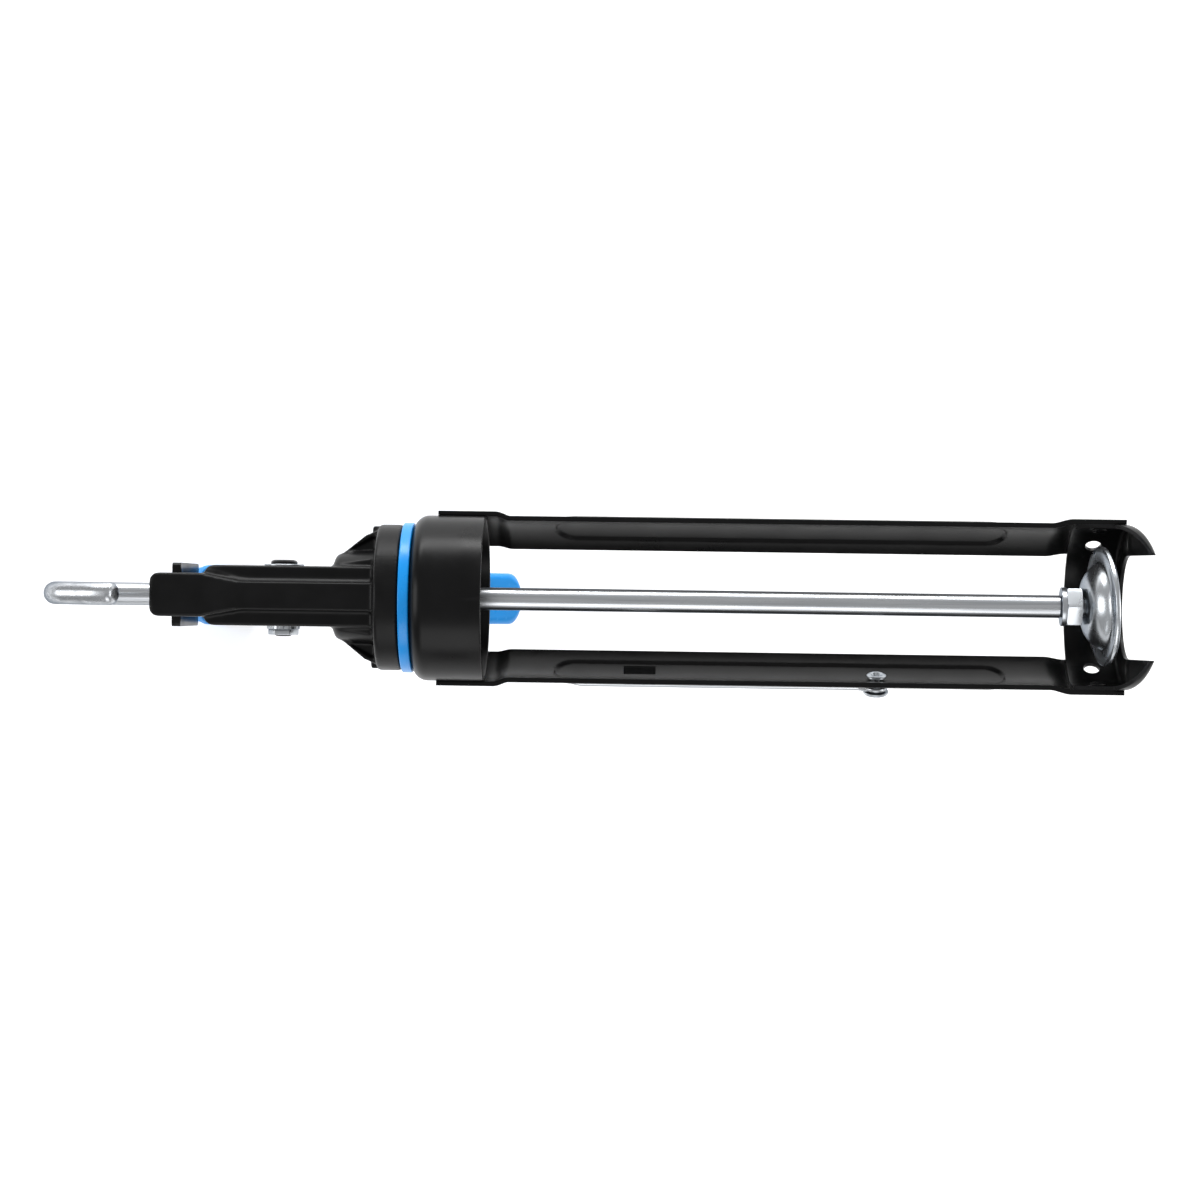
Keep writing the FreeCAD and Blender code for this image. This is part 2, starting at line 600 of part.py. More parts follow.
def trigger_lever():
    blade = plate([("pivot_x + 7", "case_floor - 5"), ("pivot_x + 20", "case_floor - 17"),
                   ("pivot_x + 43", "case_floor - 40"), ("pivot_x + 64", "case_floor - 58.5"),
                   ("pivot_x + 76", "case_floor - 69"), ("pivot_x + 74", "case_floor - 76"),
                   ("pivot_x + 66", "case_floor - 75.5"), ("pivot_x + 54", "case_floor - 63"),
                   ("pivot_x + 33", "case_floor - 45"), ("pivot_x + 12", "case_floor - 25"),
                   ("pivot_x + 3.5", "case_floor - 12")], "trigger_half")
    smooth(blade, "3", lambda e: sideways(e) and e.CenterOfMass.x > worth("pivot_x + 60"))
    smooth(blade, "2.6", lambda e: not sideways(e) and e.CenterOfMass.x > worth("pivot_x + 9")
           and e.BoundBox.DiagonalLength > 3)
    neck = plate([("pivot_x - 4.6", "pivot_z"), ("pivot_x - 3.2", "pivot_z + 3.6"),
                  ("nose_x - 3.4", "nose_z + 1.6"), ("nose_x - 1", "nose_z + 2.2"),
                  ("pivot_x + 5.2", "pivot_z + 1"), ("pivot_x + 8", "case_floor - 4"),
                  ("pivot_x + 14", "case_floor - 14"), ("pivot_x + 6", "case_floor - 18"),
                  ("pivot_x + 1", "case_floor - 11")], "trigger_neck")
    bore = cylinder(("pivot_x", "0 - 30", "pivot_z"), "60", "pivot_radius + 0.05", "y")
    seat = cylinder(("nose_x", "0 - 30", "nose_z"), "60", "nose_radius + 0.01", "y")
    return named(cut(fuse(blade, neck), bore, seat), "trigger_lever")


def trigger_nose_pin():
    return named(cylinder(("nose_x", "0 - trigger_neck", "nose_z"), "2*trigger_neck", "nose_radius", "y"),
                 "trigger_nose_pin")


# ---- drive plates, release plate, springs ----

def bored_plate(label, rear, thickness, half, low, top, bore):
    slab = box((rear, "0 - " + half, low), (rear + " + " + thickness, half, top))
    slab = rounded(slab, "1.5", along(FreeCAD.Vector(1, 0, 0)))
    hole = cylinder((rear + " - 2", "0", "0"), thickness + " + 4", bore)
    return named(cut(slab, hole), label)


def drive_plates():
    bored_plate("drive_plate_rear", "drive_rear", "drive_plate", "drive_half", "drive_low", "drive_top",
                "rod_radius + 0.06")
    bored_plate("drive_plate_front", "drive_rear + drive_plate + gap", "drive_plate", "drive_half",
                "drive_low", "drive_top", "rod_radius + 0.06")


# The release plate hangs round the rod; its foot is bent back into a thumb tab.
def release_plate():
    slab = rounded(box(("release_rear", "0 - release_half", "release_low"),
                       ("release_rear + release_plate", "release_half", "release_top")),
                   "1.5", along(FreeCAD.Vector(1, 0, 0)))
    tab = rounded(box(("release_rear - thumb_tab", "0 - release_half", "release_low"),
                      ("release_rear + 1", "release_half", "release_low + release_plate")),
                  "1.2", along(FreeCAD.Vector(1, 0, 0)))
    hole = cylinder(("release_rear - 2", "0", "0"), "release_plate + 4", "release_bore")
    return named(cut(fuse(slab, tab), hole), "release_plate")


def build():
    rear_collar()
    front_cup()
    left_rail()
    right_rail()
    cradle_rivets()
    pin_rivet()
    pin_washer()
    piercing_pin()
    push_rod()
    nut("plunger_nut", "rod_front + 1.64", "5")
    nut("plunger_end_nut", "plunger_centre + 1.85", "4.6")
    plunger_lock_washer()
    plunger_disc()
    swivel_ring()
    swivel_retainer()
    rod_bush()
    body_casting()
    grip_backstrap()
    trigger_pivot_bolt()
    trigger_pivot_washer()
    trigger_pivot_nut()
    trigger_lever()
    trigger_nose_pin()
    drive_plates()
    release_plate()
    coil("main_spring", "drive_rear + 2*drive_plate + 2*gap", "front_wall - 0.6", "main_coil", "main_wire", 6)
    coil("release_spring", "release_rear + release_plate + 0.1", "case_rear - 0.1", "release_coil",
         "release_wire", 3.5)


build()
doc.recompute()
for thing in doc.Objects:
    if "Invalid" in thing.State or "Error" in thing.State:
        raise RuntimeError("%s failed to rebuild: %s" % (thing.Label, thing.State))
for thing in parts:
    if thing.Shape.isNull() or not thing.Shape.isValid() or not thing.Shape.Solids:
        raise RuntimeError("%s has no valid solid" % thing.Label)
for thing in parts:
    thing.Shape.exportStep("parts/%s.step" % thing.Label)
    print(thing.Label, len(thing.Shape.Solids), round(thing.Shape.Volume, 1))
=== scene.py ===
import bpy
import math
from mathutils import Matrix, Vector


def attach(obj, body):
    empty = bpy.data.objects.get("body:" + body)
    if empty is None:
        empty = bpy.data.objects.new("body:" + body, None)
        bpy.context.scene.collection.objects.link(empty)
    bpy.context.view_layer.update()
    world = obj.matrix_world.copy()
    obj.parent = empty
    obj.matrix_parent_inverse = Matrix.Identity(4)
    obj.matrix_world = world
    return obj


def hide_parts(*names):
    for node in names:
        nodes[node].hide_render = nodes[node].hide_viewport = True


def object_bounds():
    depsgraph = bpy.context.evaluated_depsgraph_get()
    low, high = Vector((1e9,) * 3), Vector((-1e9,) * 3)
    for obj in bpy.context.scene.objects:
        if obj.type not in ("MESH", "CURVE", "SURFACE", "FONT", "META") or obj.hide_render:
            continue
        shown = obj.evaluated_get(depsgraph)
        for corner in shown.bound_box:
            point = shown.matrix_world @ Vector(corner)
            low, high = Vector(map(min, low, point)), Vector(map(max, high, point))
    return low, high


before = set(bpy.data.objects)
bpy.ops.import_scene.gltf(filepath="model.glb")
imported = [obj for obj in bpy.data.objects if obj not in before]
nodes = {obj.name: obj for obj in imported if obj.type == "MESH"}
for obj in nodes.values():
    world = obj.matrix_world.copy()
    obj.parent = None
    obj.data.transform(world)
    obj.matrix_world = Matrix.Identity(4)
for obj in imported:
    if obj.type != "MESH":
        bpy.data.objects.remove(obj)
cadBox = [list(corner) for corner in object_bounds()]
mm = 0.001
print("frame loaded:", len(nodes), "nodes")


def deselectAll():
    if bpy.context.object and bpy.context.object.mode != "OBJECT":
        bpy.ops.object.mode_set(mode="OBJECT")
    bpy.ops.object.select_all(action="DESELECT")


def pick(piece, *others):
    deselectAll()
    for each in (piece, *others):
        each.select_set(True)
    bpy.context.view_layer.objects.active = piece


def settle(piece):
    pick(piece)
    bpy.ops.object.transform_apply(location=True, rotation=True, scale=True)


def modify(piece, kind, **values):
    pick(piece)
    modifier = piece.modifiers.new(kind.lower(), kind)
    for name, value in values.items():
        setattr(modifier, name, value)
    bpy.ops.object.modifier_apply(modifier=modifier.name)


def shadeByAngle(piece, degrees=35):
    pick(piece)
    bpy.ops.object.shade_smooth_by_angle(angle=math.radians(degrees))


def pointOutwards(piece):
    pick(piece)
    bpy.ops.object.mode_set(mode="EDIT")
    bpy.ops.mesh.select_all(action="SELECT")
    bpy.ops.mesh.remove_doubles(threshold=0.000002)
    bpy.ops.mesh.normals_make_consistent(inside=False)
    bpy.ops.object.mode_set(mode="OBJECT")


def combine(piece, others, operation):
    for other in others:
        modify(piece, "BOOLEAN", operation=operation, solver="EXACT", object=other)
        bpy.data.objects.remove(other)
        if not piece.data.vertices:
            raise ValueError("nothing left after a cut or a join")


def cutAway(piece, *cutters):
    combine(piece, cutters, "DIFFERENCE")


def addOn(piece, *extras):
    combine(piece, extras, "UNION")


def easeEdges(piece, width, segments=2, degrees=32):
    modify(piece, "BEVEL", width=width * mm, segments=segments, limit_method="ANGLE",
           angle_limit=math.radians(degrees), miter_outer="MITER_ARC", harden_normals=False)


# Rides, replaces and paints a finished piece.
def finishPiece(piece, name, body, material, replaced):
    piece.name = name
    piece.data.materials.clear()
    piece.data.materials.append(material)
    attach(piece, body)
    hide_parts(replaced)


# A piece turned about X: a ring is extruded and resized through stations of (x, radius) in mm.
def turnPiece(stations, points=96, closed=False):
    deselectAll()
    x, radius = stations[0]
    bpy.ops.mesh.primitive_circle_add(vertices=points, radius=radius * mm, fill_type="NOTHING",
                                      location=(x * mm, 0, 0), rotation=(0, math.pi / 2, 0))
    piece = bpy.context.object
    settle(piece)
    bpy.ops.object.mode_set(mode="EDIT")
    bpy.ops.mesh.select_all(action="SELECT")
    for (x0, r0), (x1, r1) in zip(stations, stations[1:] + (stations[:1] if closed else [])):
        bpy.ops.mesh.extrude_region_move(TRANSFORM_OT_translate={"value": ((x1 - x0) * mm, 0, 0)})
        bpy.ops.transform.resize(value=(1, r1 / r0, r1 / r0), center_override=(x1 * mm, 0, 0))
    if not closed:
        bpy.ops.mesh.select_all(action="DESELECT")
        bpy.ops.mesh.select_non_manifold()
        bpy.ops.mesh.edge_face_add()
    bpy.ops.object.mode_set(mode="OBJECT")
    pointOutwards(piece)
    return piece


# Stations on a quarter or other arc about (x, radius), from one angle to another.
def bend(x, radius, size, start, end, steps=6):
    turns = [math.radians(start + (end - start) * i / steps) for i in range(steps + 1)]
    return [(x + size * math.cos(t), radius + size * math.sin(t)) for t in turns]


# A round bar along a path of (x, y, z, radius) in mm, drawn as a bevelled curve and made a mesh.
def barPiece(path, points):
    deselectAll()
    bpy.ops.curve.primitive_nurbs_path_add(location=(0, 0, 0))
    bar = bpy.context.object
    bar.data.splines.clear()
    spline = bar.data.splines.new("POLY")
    spline.points.add(len(path) - 1)
    widest = max(radius for x, y, z, radius in path)
    for point, (x, y, z, radius) in zip(spline.points, path):
        point.co = (x * mm, y * mm, z * mm, 1)
        point.radius = radius / widest
    bar.data.dimensions = "3D"
    bar.data.bevel_depth = widest * mm
    bar.data.bevel_resolution = points
    bar.data.use_fill_caps = True
    pick(bar)
    bpy.ops.object.convert(target="MESH")
    bar = bpy.context.object
    pointOutwards(bar)
    return bar


# A block between two corners in mm, turned about a line along Y through a point if asked.
def block(low, high, degrees=0, about=None):
    deselectAll()
    centre = [(a + b) / 2 * mm for a, b in zip(low, high)]
    size = [(b - a) * mm for a, b in zip(low, high)]
    bpy.ops.mesh.primitive_cube_add(size=1, location=centre)
    piece = bpy.context.object
    piece.scale = size
    settle(piece)
    if degrees:
        middle = Matrix.Translation(Vector(about) * mm)
        piece.matrix_world = middle @ Matrix.Rotation(math.radians(degrees), 4, "Y") @ middle.inverted()
        settle(piece)
    return piece


# A cylinder along Y or Z, for holes.
def roundBar(centre, length, radius, axis, points=48):
    deselectAll()
    turn = (math.pi / 2, 0, 0) if axis == "Y" else (0, 0, 0)
    bpy.ops.mesh.primitive_cylinder_add(vertices=points, radius=radius * mm, depth=length * mm,
                                        location=[c * mm for c in centre], rotation=turn)
    piece = bpy.context.object
    settle(piece)
    return piece


# A sheet whose grid of points is pressed to shape: place(u, v) gives each point in mm.
def pressedSheet(columns, rows, place):
    deselectAll()
    bpy.ops.mesh.primitive_grid_add(x_subdivisions=columns, y_subdivisions=rows, size=1)
    piece = bpy.context.object
    for vertex in piece.data.vertices:
        vertex.co = Vector(place(vertex.co.x + 0.5, vertex.co.y + 0.5)) * mm
    return piece


# Turns a piece built along +Z about the X axis, then moves it along X.
def swing(piece, degrees, x=0.0):
    piece.matrix_world = Matrix.Translation((x * mm, 0, 0)) @ Matrix.Rotation(math.radians(degrees), 4, "X")
    settle(piece)
    return piece


# Turns a piece that was turned about X so that it lies along another axis, at a place in mm.
def stand(piece, axis, centre):
    turn = {"Y": Matrix.Rotation(math.pi / 2, 4, "Z"), "-Y": Matrix.Rotation(-math.pi / 2, 4, "Z"),
            "Z": Matrix.Rotation(-math.pi / 2, 4, "Y")}[axis]
    piece.matrix_world = Matrix.Translation(Vector(centre) * mm) @ turn
    settle(piece)
    return piece


def ease(t):
    t = min(1.0, max(0.0, t))
    return t * t * (3 - 2 * t)


# A copy of a machined node that is merged and made one solid skin with soft cast edges.
def castCopy(nodeName, voxel, rounds, cuts=(), extras=()):
    deselectAll()
    source = nodes[nodeName]
    copy = bpy.data.objects.new("copy", source.data.copy())
    bpy.context.scene.collection.objects.link(copy)
    pick(copy)
    bpy.ops.object.mode_set(mode="EDIT")
    bpy.ops.mesh.select_all(action="SELECT")
    bpy.ops.mesh.remove_doubles(threshold=0.000005)
    bpy.ops.object.mode_set(mode="OBJECT")
    addOn(copy, *extras)
    cutAway(copy, *cuts)
    modify(copy, "REMESH", mode="VOXEL", voxel_size=voxel * mm, adaptivity=0.0)
    modify(copy, "SMOOTH", factor=0.5, iterations=rounds)
    pick(copy)
    bpy.ops.object.shade_smooth()
    return copy


# Noise stretched along the axes gives a mask for colour, a roughness and a height.
def buildGrainGroup():
    group = bpy.data.node_groups.new("surface grain", "ShaderNodeTree")
    inputs = {"Scale": 400.0, "Detail": 4.0, "Rough Low": 0.3, "Rough High": 0.4}
    for name, value in inputs.items():
        socket = group.interface.new_socket(name, in_out="INPUT", socket_type="NodeSocketFloat")
        socket.default_value = value
    group.interface.new_socket("Vector", in_out="INPUT", socket_type="NodeSocketVector")
    for name in ("Mask", "Roughness", "Height"):
        group.interface.new_socket(name, in_out="OUTPUT", socket_type="NodeSocketFloat")
    new, link = group.nodes.new, group.links.new
    start, end = new("NodeGroupInput"), new("NodeGroupOutput")
    fine, broad = new("ShaderNodeTexNoise"), new("ShaderNodeTexNoise")
    tenth = new("ShaderNodeMath")
    tenth.operation = "MULTIPLY"
    tenth.inputs[1].default_value = 0.09
    for noise in (fine, broad):
        link(start.outputs["Vector"], noise.inputs["Vector"])
        link(start.outputs["Detail"], noise.inputs["Detail"])
    link(start.outputs["Scale"], fine.inputs["Scale"])
    link(start.outputs["Scale"], tenth.inputs[0])
    link(tenth.outputs[0], broad.inputs["Scale"])
    spread = new("ShaderNodeMapRange")
    link(broad.outputs["Fac"], spread.inputs["Value"])
    link(start.outputs["Rough Low"], spread.inputs["To Min"])
    link(start.outputs["Rough High"], spread.inputs["To Max"])
    spread.inputs["From Min"].default_value = 0.3
    spread.inputs["From Max"].default_value = 0.7
    mask = new("ShaderNodeMapRange")
    link(broad.outputs["Fac"], mask.inputs["Value"])
    mask.inputs["From Min"].default_value = 0.35
    mask.inputs["From Max"].default_value = 0.65
    link(mask.outputs["Result"], end.inputs["Mask"])
    link(spread.outputs["Result"], end.inputs["Roughness"])
    link(fine.outputs["Fac"], end.inputs["Height"])
    return group


# Paint rubbed thin along sharp edges, from the shape's own curvature.
def buildWearGroup():
    group = bpy.data.node_groups.new("edge wear", "ShaderNodeTree")
    for name, value in {"Amount": 0.3, "Scale": 900.0}.items():
        socket = group.interface.new_socket(name, in_out="INPUT", socket_type="NodeSocketFloat")
        socket.default_value = value
    group.interface.new_socket("Vector", in_out="INPUT", socket_type="NodeSocketVector")
    group.interface.new_socket("Mask", in_out="OUTPUT", socket_type="NodeSocketFloat")
    new, link = group.nodes.new, group.links.new
    start, end = new("NodeGroupInput"), new("NodeGroupOutput")
    shape, noise = new("ShaderNodeNewGeometry"), new("ShaderNodeTexNoise")
    link(start.outputs["Vector"], noise.inputs["Vector"])
    link(start.outputs["Scale"], noise.inputs["Scale"])
    edge = new("ShaderNodeMapRange")
    edge.inputs["From Min"].default_value = 0.54
    edge.inputs["From Max"].default_value = 0.66
    link(shape.outputs["Pointiness"], edge.inputs["Value"])
    broken = new("ShaderNodeMath")
    broken.operation = "MULTIPLY"
    link(edge.outputs["Result"], broken.inputs[0])
    link(noise.outputs["Fac"], broken.inputs[1])
    amount = new("ShaderNodeMath")
    amount.operation = "MULTIPLY"
    link(broken.outputs[0], amount.inputs[0])
    link(start.outputs["Amount"], amount.inputs[1])
    link(amount.outputs[0], end.inputs["Mask"])
    return group


grainGroup = buildGrainGroup()
wearGroup = buildWearGroup()

finishes = {
    "black gloss paint": dict(base=(0.0022, 0.0022, 0.0023), other=(0.0034, 0.0034, 0.0036), metallic=0.0,
                              rough=(0.27, 0.36), scale=900, stretch=(1, 1, 1), bump=0.05, depth=0.02,
                              wear=0.2, worn=(0.05, 0.05, 0.054), coat=0.0, coatRough=0.25, specular=0.15),
    "black cast paint": dict(base=(0.0024, 0.0024, 0.0025), other=(0.0037, 0.0037, 0.0039), metallic=0.0,
                             rough=(0.32, 0.42), scale=1500, stretch=(1, 1, 1), bump=0.12, depth=0.03,
                             wear=0.25, worn=(0.05, 0.05, 0.054), coat=0.0, coatRough=0.35, specular=0.14),
    "blue moulding": dict(base=(0.004, 0.245, 0.67), other=(0.0035, 0.23, 0.63), metallic=0.0,
                          rough=(0.26, 0.36), scale=700, stretch=(1, 1, 1), bump=0.05, depth=0.02,
                          wear=0.3, worn=(0.09, 0.42, 0.85), coat=0.1, coatRough=0.2, specular=0.3),
    "blue rubber": dict(base=(0.004, 0.225, 0.62), other=(0.0035, 0.2, 0.57), metallic=0.0,
                        rough=(0.5, 0.62), scale=2600, stretch=(1, 1, 1), bump=0.3, depth=0.05,
                        wear=0.25, worn=(0.08, 0.36, 0.78), coat=0.0, coatRough=0.3, specular=0.3),
    "bright zinc": dict(base=(0.53, 0.555, 0.58), other=(0.42, 0.44, 0.465), metallic=1.0,
                        rough=(0.24, 0.34), scale=700, stretch=(1, 1, 1), bump=0.10, depth=0.02,
                        wear=0.2, worn=(0.85, 0.87, 0.9), coat=0.0, coatRough=0.2, edge=(0.38, 0.41, 0.45)),
    "drawn zinc bar": dict(base=(0.54, 0.555, 0.575), other=(0.36, 0.375, 0.395), metallic=1.0,
                           rough=(0.2, 0.4), scale=13000, stretch=(0.015, 1, 1), bump=0.05, depth=0.01,
                           wear=0.1, worn=(0.9, 0.92, 0.94), coat=0.0, coatRough=0.2, edge=(0.25, 0.28, 0.32)),
    "spring wire": dict(base=(0.42, 0.42, 0.43), other=(0.34, 0.34, 0.35), metallic=1.0,
                        rough=(0.25, 0.36), scale=1500, stretch=(1, 1, 1), bump=0.05, depth=0.01,
                        wear=0.1, worn=(0.6, 0.6, 0.6), coat=0.0, coatRough=0.2),
    "sintered bronze": dict(base=(0.42, 0.27, 0.12), other=(0.33, 0.2, 0.09), metallic=1.0,
                            rough=(0.35, 0.5), scale=3000, stretch=(1, 1, 1), bump=0.2, depth=0.02,
                            wear=0.2, worn=(0.6, 0.45, 0.25), coat=0.0, coatRough=0.2),
}


def buildFinish(name, base, other, metallic, rough, scale, stretch, bump, depth, wear, worn, coat, coatRough,
                specular=0.5, edge=(1, 1, 1)):
    material = bpy.data.materials.new(name)
    material.use_nodes = True
    new, link = material.node_tree.nodes.new, material.node_tree.links.new
    shader = material.node_tree.nodes["Principled BSDF"]
    place, mapping = new("ShaderNodeTexCoord"), new("ShaderNodeMapping")
    mapping.inputs["Scale"].default_value = stretch
    link(place.outputs["Object"], mapping.inputs["Vector"])
    grain, edges = new("ShaderNodeGroup"), new("ShaderNodeGroup")
    grain.node_tree, edges.node_tree = grainGroup, wearGroup
    grain.inputs["Scale"].default_value = scale
    grain.inputs["Rough Low"].default_value, grain.inputs["Rough High"].default_value = rough
    edges.inputs["Amount"].default_value = wear
    for each in (grain, edges):
        link(mapping.outputs["Vector"], each.inputs["Vector"])
    tint, rub = new("ShaderNodeMix"), new("ShaderNodeMix")
    for mix in (tint, rub):
        mix.data_type = "RGBA"
    tint.inputs["A"].default_value = (*base, 1)
    tint.inputs["B"].default_value = (*other, 1)
    rub.inputs["B"].default_value = (*worn, 1)
    link(grain.outputs["Mask"], tint.inputs["Factor"])
    link(edges.outputs["Mask"], rub.inputs["Factor"])
    link(tint.outputs["Result"], rub.inputs["A"])
    link(rub.outputs["Result"], shader.inputs["Base Color"])
    link(grain.outputs["Roughness"], shader.inputs["Roughness"])
    relief = new("ShaderNodeBump")
    relief.inputs["Strength"].default_value = bump
    relief.inputs["Distance"].default_value = depth * mm
    link(grain.outputs["Height"], relief.inputs["Height"])
    link(relief.outputs["Normal"], shader.inputs["Normal"])
    shader.inputs["Metallic"].default_value = metallic
    shader.inputs["Coat Weight"].default_value = coat
    shader.inputs["Coat Roughness"].default_value = coatRough
    shader.inputs["Specular IOR Level"].default_value = specular
    shader.inputs["Specular Tint"].default_value = (*edge, 1)
    return material


paint = {name: buildFinish(name, **values) for name, values in finishes.items()}
glossPaint, castPaint = paint["black gloss paint"], paint["black cast paint"]
blue, rubber = paint["blue moulding"], paint["blue rubber"]
zinc, bar = paint["bright zinc"], paint["drawn zinc bar"]
print("finishes built")

# sizes of the cradle in mm, as machined
cradle = dict(seat=26.0, sheet=1.3, mouth=22.1, corner=4.8, seatEnd=233.0, cupStart=216.0,
              railIn=25.9, railSheet=1.6, railStart=6.3, railEnd=232.6, pinAngle=20.5, pinX=152.0,
              pinReach=29.5)
outer = cradle["seat"] + cradle["sheet"]


def makeRearCollar():
    c = cradle
    rear, lip = -c["sheet"], 0.45
    outside = [(rear, 13.0), (rear, 20.0)]
    outside += bend(rear + c["corner"], outer - c["corner"], c["corner"], 180, 90, 9)
    outside += [(12.0, outer)] + bend(c["mouth"] - lip, outer - lip, lip, 90, 0, 3)
    inside = bend(c["mouth"] - lip, c["seat"] + lip, lip, 0, -90, 3) + [(12.0, c["seat"])]
    inside += bend(c["corner"] - c["sheet"], outer - c["corner"], c["corner"] - c["sheet"], 90, 180, 7)
    inside += [(0, 20.0), (0, 13.0)]
    collar = turnPiece(outside + inside, points=144, closed=True)
    shadeByAngle(collar)
    finishPiece(collar, "drawn_collar", "cradle", glossPaint, "rear_collar")


# Front half cup: a drawn cup, sliced down to a lower half, two horns and a round notch between them.
cup = dict(notch=17.0, corner=2.6, hornTop=20.5, lean=15.5, wallTop=2.0, slopeFoot=228.4, slopeTop=232.4,
           hole=2.65, holeX=224.2, holeAngle=128)


def makeFrontCup():
    c = cradle
    face, soft, start = c["seatEnd"] + c["sheet"], cup["corner"], c["cupStart"]
    outside = [(start, outer), (start + 6, outer), (start + 11, outer)]
    outside += bend(face - soft, outer - soft, soft, 90, 0, 8)
    outside += [(face, 21.0), (face, 19.0), (face, cup["notch"])]
    inside = [(c["seatEnd"], cup["notch"]), (c["seatEnd"], 19.0), (c["seatEnd"], 21.0)]
    inside += bend(face - soft, outer - soft, soft - c["sheet"], 0, 90, 8)
    inside += [(start + 11, c["seat"]), (start + 6, c["seat"]), (start, c["seat"])]
    piece = turnPiece(outside + inside, points=180, closed=True)
    slope = math.degrees(math.atan2(cup["slopeTop"] - cup["slopeFoot"], cup["hornTop"] - cup["wallTop"]))
    foot, top = cup["slopeFoot"], cup["wallTop"]
    cuts = [block((start - 5, -40, top), (foot, 40, 45)),
            block((foot - 30, -40, top), (foot, 40, 50), slope, (foot, 0, top)),
            block((start - 5, -40, cup["hornTop"]), (face + 5, 40, 45)),
            block((start + 12, -cup["notch"], 0), (face + 5, cup["notch"], 45))]
    for side in (-1, 1):
        hole = roundBar((0, 0, outer), 12, cup["hole"], "Z", 40)
        cuts.append(swing(hole, side * cup["holeAngle"], cup["holeX"]))
    cutAway(piece, *cuts)
    lean = math.tan(math.radians(cup["lean"]))
    for vertex in piece.data.vertices:
        height = max(0.0, vertex.co.z)
        vertex.co.x += lean * height * ease((vertex.co.x / mm - start) / 12) * ease(height / (3 * mm))
    easeEdges(piece, 0.32, 2)
    shadeByAngle(piece, 30)
    finishPiece(piece, "drawn_front_cup", "cradle", glossPaint, "front_cup")


# A rail's sheet: rolled round the cartridge, stepped out over both cups, with one long pressed bead.
rails = dict(up=4.0, down=-49.5, lapDown=-24.5, bead=0.75, beadFrom=44.5, beadTo=195.0,
             beadTop=-8.0, beadFoot=-39.0, beadEdge=0.95, columns=360, rows=64)


def railPoint(u, v, side):
    c, r = cradle, rails
    x = c["railStart"] + u * (c["railEnd"] - c["railStart"])
    lap = 1 - ease((x - 25.0) / 5) + ease((x - 208.5) / 7)
    narrow = ease((x - 218.0) / 1.2)
    down = r["down"] + (r["lapDown"] - r["down"]) * narrow
    angle = down + v * (r["up"] - down)
    radius = c["railIn"] + lap * (outer - c["railIn"])
    half = (r["beadTop"] - r["beadFoot"]) / 2
    reach = math.radians(half) * radius
    across = math.radians(angle - (r["beadTop"] + r["beadFoot"]) / 2) * radius
    centre, run = (r["beadFrom"] + r["beadTo"]) / 2, (r["beadTo"] - r["beadFrom"]) / 2 - reach
    along = max(0.0, abs(x - centre) - run)
    radius += r["bead"] * ease((reach - math.hypot(along, across)) / r["beadEdge"])
    turn = math.radians(angle)
    return x, side * radius * math.cos(turn), radius * math.sin(turn)


# Lances windows out of a rail's sheet: each is (start, end, low, high) in mm and degrees.
def lance(sheet, side, windows):
    pick(sheet)
    bpy.ops.object.mode_set(mode="EDIT")
    bpy.ops.mesh.select_all(action="DESELECT")
    bpy.ops.object.mode_set(mode="OBJECT")
    for face in sheet.data.polygons:
        x, angle = face.center.x / mm, math.degrees(math.atan2(face.center.z, side * face.center.y))
        face.select = any(a < x < b and low < angle < high for a, b, low, high in windows)
    bpy.ops.object.mode_set(mode="EDIT")
    bpy.ops.mesh.delete(type="FACE")
    bpy.ops.object.mode_set(mode="OBJECT")


def makeRail(side, name, windows=(), shells=()):
    sheet = pressedSheet(rails["columns"], rails["rows"], lambda u, v: railPoint(u, v, side))
    if windows:
        lance(sheet, side, windows)
    modify(sheet, "SOLIDIFY", thickness=cradle["railSheet"] * mm, offset=1 if side < 0 else -1)
    pointOutwards(sheet)
    easeEdges(sheet, 0.28, 2, 70)
    if shells:
        pick(sheet, *shells)
        bpy.ops.object.join()
    shadeByAngle(sheet, 30)
    finishPiece(sheet, "pressed_" + name, "cradle", glossPaint, name)


# A tongue lanced out of a window in the right rail, bent out so that the pin's wire rests on it.
tongue = dict(start=67.8, end=78.8, low=-34.7, high=-23.5, slotLow=-10.6, slotHigh=-4.4, thick=1.15)


def makeTongue():
    path = [(-7.6, 26.2), (-6.6, 26.5), (-5.6, 27.1), (-4.6, 27.9), (-3.6, 28.6), (-2.7, 29.1), (-2.0, 29.3)]
    count = len(path) - 1

    def place(u, v):
        y, z = path[round(v * count)]
        return tongue["start"] - 0.5 + u * (tongue["end"] - tongue["start"] + 1.0), y, z

    strip = pressedSheet(2, count, place)
    modify(strip, "SOLIDIFY", thickness=tongue["thick"] * mm, offset=0)
    pointOutwards(strip)
    return swing(strip, 90 + cradle["pinAngle"])


def makeRightRail():
    t = tongue
    window = (t["start"], t["end"], t["low"], t["high"])
    slot = (t["start"] + 0.5, t["end"] - 0.5, t["slotLow"], t["slotHigh"])
    makeRail(-1, "right_rail", windows=(window, slot), shells=(makeTongue(),))


# Rivets that join the rails to both cups: places along the rail, turn from the top, and a (height, radius)
# outline.
rivets = dict(places=(13.3, 225.0), turn=101.0,
              outline=[(25.75, 0.6), (25.55, 0.9), (25.35, 1.5), (25.35, 2.1), (25.65, 2.7), (26.1, 2.7),
                       (26.2, 1.7), (28.85, 1.72), (28.9, 2.2), (29.1, 2.0), (29.2, 1.0)])


